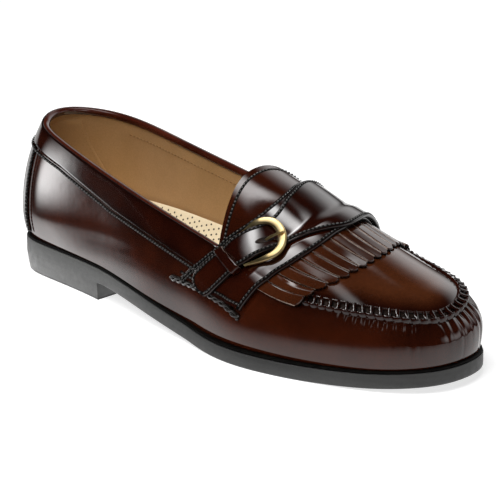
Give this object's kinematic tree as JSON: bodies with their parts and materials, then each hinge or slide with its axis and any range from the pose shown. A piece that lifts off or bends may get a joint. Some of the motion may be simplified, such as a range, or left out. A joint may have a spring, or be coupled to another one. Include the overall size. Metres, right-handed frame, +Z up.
{
  "type": "buckle loafer",
  "caption": "Slip-on leather loafer for the right foot with gathered apron seam, fringed kiltie, saddle, buckled side strap and low stacked heel.",
  "frame": {"origin": "middle of the whole shoe's footprint box, on the floor that heel and forefoot stand on", "axes": "+X along the foot towards the toe, +Y towards the inner side of the foot, +Z up"},
  "size_m": [0.2988, 0.1032, 0.0852],
  "materials": {
    "leather": "high gloss burgundy brown",
    "sole": "satin dark grey edge",
    "welt": "black edge dressing, satin",
    "lining": "matte natural lining leather",
    "brass": "polished"
  },
  "bodies": {
    "root": {"upper": "leather", "outsole": "sole", "heel": "sole", "welt": "welt", "insole": "lining", "collar_band": "leather", "back_stay": "leather", "saddle": "leather", "kiltie": "leather", "buckle_strap": "leather", "strap_keeper": "leather", "buckle_frame": "brass", "buckle_prong": "brass"}
  },
  "joints": []
}
